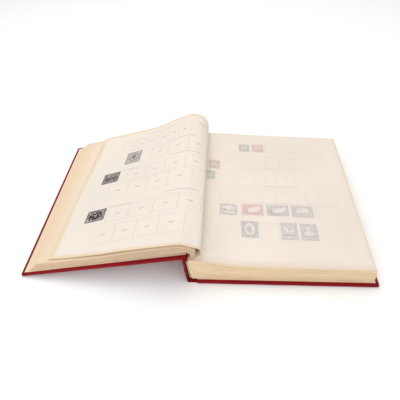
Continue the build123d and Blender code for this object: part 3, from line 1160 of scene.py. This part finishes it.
# plain generic pictures: sides, centre x and y, width, height, turn, ink, as shares of the stamp
motifs = {
    "hills": [
        (16, .5, .62, .7, .36, 0, "pale"), (3, .3, .46, .5, .34, 1.2, "dark"),
        (3, .66, .5, .44, .3, .4, "own"), (16, .5, .26, .8, .12, 0, "pale"),
    ],
    "valley": [
        (3, .26, .36, .5, .5, 2.6, "dark"), (16, .56, .5, .56, .4, .2, "pale"),
        (3, .8, .36, .4, .3, 1.0, "own"), (12, .8, .72, .14, .18, 0, "pale"),
        (16, .45, .22, .8, .1, 0, "dark"),
    ],
    "bowl": [
        (20, .5, .56, .56, .58, 0, "pale"), (16, .5, .42, .34, .2, 0, "dark"),
        (16, .5, .47, .3, .14, 0, "pale"), (12, .5, .7, .14, .12, 0, "own"),
    ],
    "arch": [
        (20, .5, .52, .72, .78, 0, "dark"), (20, .5, .52, .6, .68, 0, "pale"),
        (5, .46, .48, .34, .5, .4, "own"), (12, .54, .68, .14, .14, 0, "dark"),
    ],
    "sail": [
        (3, .4, .56, .38, .56, .5, "pale"), (3, .64, .5, .3, .42, 2.4, "pale"),
        (3, .5, .6, .16, .3, .5, "dark"), (16, .5, .24, .7, .12, 0, "dark"),
        (16, .5, .18, .6, .06, 0, "pale"),
    ],
    "mound": [
        (20, .5, .42, .7, .38, 0, "dark"), (20, .5, .42, .62, .3, 0, "pale"),
        (3, .46, .7, .34, .3, .3, "pale"), (12, .56, .42, .26, .1, 0, "own"),
    ],
    "plain": [
        (20, .5, .52, .56, .56, 0, "dark"), (20, .5, .52, .44, .44, 0, "pale"),
        (12, .5, .52, .24, .3, 0, "own"),
    ],
    "lozenge": [
        (16, .5, .54, .6, .6, 0, "dark"), (16, .5, .54, .54, .53, 0, "own"),
        (9, .5, .56, .2, .3, .3, "dark"), (5, .44, .48, .2, .12, .8, "dark"),
    ],
    "grove": [
        (3, .3, .42, .6, .5, 1.2, "dark"), (7, .7, .5, .4, .44, .4, "dark"),
        (8, .5, .66, .5, .2, 0, "own"),
    ],
    "night": [
        (9, .46, .5, .6, .66, 0, "dark"), (7, .72, .46, .24, .5, .4, "dark"),
        (6, .5, .5, .16, .3, .2, "own"),
    ],
}


def makeSpecks(count, tone, width, height, rim, level):
    # little flecks of ink or bare paper, as a worn engraving shows
    specks = []
    keepOff = rim + 1.4
    for number in range(count):
        size = chance.uniform(*stampLook["speck"])
        spot = chance.uniform(keepOff, width - keepOff), chance.uniform(keepOff, height - keepOff)
        fleck = newShape(5, *spot, size * 1.6, size, chance.uniform(0, 3), level)
        paint(fleck, inks[tone])
        specks.append(fleck)
    return specks


def makeStamp(name, stamp, placeAt, tilt=0.0):
    x0, y0, width, height = stamp["spot"]
    grow = stampLook["paper"]
    x0, y0, width, height = x0 - grow, y0 - grow, width + 2 * grow, height + 2 * grow
    rim, frame = stampLook["rim"], stampLook["frame"]
    pieces = [perforated(width, height)]
    thicken(pieces[0], stampLook["thickness"])
    paint(pieces[0], stampPaper)
    # the dark printed frame, the panel inside it, then the picture
    for inset, lift, ink in (
        (rim, stampLook["frameLift"], stamp["dark"]), (rim + frame, stampLook["panelLift"], stamp["ink"]),
    ):
        panel = newGrid("panel", inset, width - inset, inset, height - inset, 8, 6)
        for vertex in panel.data.vertices:
            vertex.co.z = lift
        paint(panel, inks[ink])
        pieces.append(panel)
    level, step = stampLook["pictureLift"], stampLook["step"]
    limit = rim + frame + stampLook["gap"]
    tones = {"pale": "pale", "own": stamp["ink"], "dark": stamp["dark"]}
    for sides, x, y, w, h, turn, tone in motifs[stamp["kind"]]:
        shape = newShape(sides, x * width, y * height, w * width, h * height, turn, level)
        for vertex in shape.data.vertices:
            vertex.co.x = min(max(vertex.co.x, limit), width - limit)
            vertex.co.y = min(max(vertex.co.y, limit), height - limit)
        paint(shape, inks[tones[tone]])
        pieces.append(shape)
        level += step
    for count, tone in stamp.get("specks", ((5, "pale"), (4, "dark"))):
        pieces += makeSpecks(count, tones[tone], width, height, rim, level)
        level += step
    inset, rise, size = (stampLook["figure"][key] for key in ("inset", "rise", "size"))
    for x in (rim + inset, width - rim - inset):
        figure = newNumber(stamp["figure"], x, rim + rise, size, level)
        paint(figure, inks["pale"])
        pieces.append(figure)
    whole = joinAll(pieces, name)
    slope = tilt / width

    def spotAt(x, y, z):
        return placeAt(x + x0, y + y0 + slope * (width - x), z)

    lay(whole, spotAt)
    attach(whole, stamp["body"])
    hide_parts(stamp["node"])


def stampList(body, node, rows):
    keys = ("spot", "ink", "dark", "kind", "figure")
    return [dict(zip(keys, row), body=body, node=node % (number + 1)) for number, row in enumerate(rows)]


tabLook = {"thickness": 0.06, "half": 4.5, "below": (8, 3)}
tabLift = tabLook["thickness"]
gutterStamps = stampList("leaf_root", "gutter_stamp_%d", [
    ((16.6, 46.8, 18.4, 20.4), "brown", "rust", "plain", "5"),
    ((14.2, 19.2, 13.6, 20.6), "green", "leaf", "plain", "3"),
])
pageStamps = stampList("right_leaf", "right_stamp_%d", [
    ((37.0, -54.6, 24.8, 21.4), "slate", "line", "hills", "10"),
    ((69.6, -53.2, 32.0, 21.8), "red", "crimson", "valley", "15"),
    ((106.9, -53.2, 32.2, 21.4), "violet", "line", "valley", "20"),
    ((144.2, -54.4, 31.4, 22.4), "slate", "line", "bowl", "25"),
    ((67.8, -96.4, 24.2, 30.6), "blue", "steel", "arch", "30"),
    ((124.8, -97.4, 22.9, 30.6), "violet", "line", "sail", "40"),
    ((152.4, -98.0, 23.6, 30.4), "violet", "line", "mound", "50"),
    ((68.6, 95.8, 17.7, 20.6), "blue", "steel", "plain", "1"),
    ((90.9, 96.6, 20.2, 20.8), "red", "crimson", "plain", "2"),
])
leftStamps = stampList("front_cover", "left_stamp_%d", [
    ((151.5, 54.0, 26.5, 30.5), "grey", "ash", "lozenge", "4"),
    ((180.0, 10.8, 28.6, 24.6), "smoke", "ash", "grove", "6"),
    ((180.0, -73.0, 30.0, 23.8), "smoke", "black", "night", "8"),
])
leftStamps[0]["specks"] = ((22, "dark"), (16, "pale"))
leftStamps[1]["specks"] = ((22, "pale"), (14, "dark"))
leftStamps[2]["specks"] = ((46, "pale"), (10, "dark"))
leftTilts = (1.5, 2.5, 2.5)
for number, stamp in enumerate(gutterStamps + pageStamps):
    makeStamp("rightStamp%d" % (number + 1), stamp, onRight(rightTopLift + tabLift))
for number, stamp in enumerate(leftStamps):
    makeStamp("leftStamp%d" % (number + 1), stamp, onLeft(tabLift), leftTilts[number])


def makeTabs(name, stamps, placeAt, body, node):
    tabs = []
    low, high = tabLook["below"]
    for x0, y0, width, height in (stamp["spot"] for stamp in stamps):
        middle, top = x0 + width / 2, y0 + height
        tab = newGrid("tab", middle - tabLook["half"], middle + tabLook["half"], top - low, top - high, 3, 2)
        thicken(tab, tabLift)
        lay(tab, placeAt)
        paint(tab, gummedTab)
        tabs.append(tab)
    whole = joinAll(tabs, name)
    outward(whole)
    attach(whole, body)
    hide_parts(node)


onLeaf = onRight(rightTopLift)
makeTabs("leftTabs", leftStamps, onLeft(0.0), "front_cover", "left_stamp_tabs")
makeTabs("gutterTabs", gutterStamps, onLeaf, "leaf_root", "gutter_stamp_tabs")
makeTabs("rightTabs", pageStamps, onLeaf, "right_leaf", "right_stamp_tabs")
print("stamps made")


deselectAll()
bpy.ops.mesh.primitive_plane_add(size=8, location=(0, 0, -0.0004))
floor = bpy.context.object
floor.name = "floor"
floorLook = {"Roughness": 0.9, "Base Color": colour("#FCFCFC")}
paint(floor, newMaterial("matt_white_floor", floorLook)[0])

lightLook = {
    "world": 0.78,
    "lamps": [
        # place, aim, size, watts
        ((-0.35, 0.55, 1.3), (0, 0, 0), 1.1, 6.4),
        ((0.7, -0.8, 1.1), (0, 0, 0), 1.2, 2.3),
        ((-0.45, -0.95, 0.3), (0, 0, 0), 0.9, 3.0),
    ],
}
bpy.context.scene.view_settings.view_transform = "Standard"  # plain studio white, no film curve
world = bpy.context.scene.world or bpy.data.worlds.new("studio")
bpy.context.scene.world = world
world.use_nodes = True
sky = world.node_tree.nodes["Background"]
sky.inputs["Color"].default_value = (1.0, 1.0, 1.0, 1.0)
sky.inputs["Strength"].default_value = lightLook["world"]
for spot, aim, size, watts in lightLook["lamps"]:
    bpy.ops.object.light_add(type="AREA", location=spot)
    lamp = bpy.context.object
    lamp.data.size = size
    lamp.data.energy = watts
    lamp.rotation_euler = (Vector(aim) - Vector(spot)).to_track_quat("-Z", "Y").to_euler()

cameraLook = {
    "place": (-0.08431, -0.44904, 0.45454), "focal": 385.766, "pitch": 44.4652, "yaw": 4.7386, "roll": 2.7411,
}


def makeCamera(look):
    pitch, yaw, roll = (radians(look[key]) for key in ("pitch", "yaw", "roll"))
    turn = Matrix.Rotation(yaw, 3, "Z") @ Matrix.Rotation(-pitch, 3, "X")
    ahead, side, down = turn @ Vector((0, 1, 0)), turn @ Vector((1, 0, 0)), turn @ Vector((0, 0, -1))
    right = cos(roll) * side + sin(roll) * down
    below = -sin(roll) * side + cos(roll) * down
    bpy.ops.object.camera_add()
    camera = bpy.context.object
    rows = Matrix((right, -below, -ahead)).transposed().to_4x4()
    camera.matrix_world = Matrix.Translation(look["place"]) @ rows
    camera.data.sensor_width = 36.0
    camera.data.lens = look["focal"] * 36.0 / 400
    camera.data.clip_start = 0.01
    bpy.context.scene.camera = camera


makeCamera(cameraLook)
print("camera and light set")
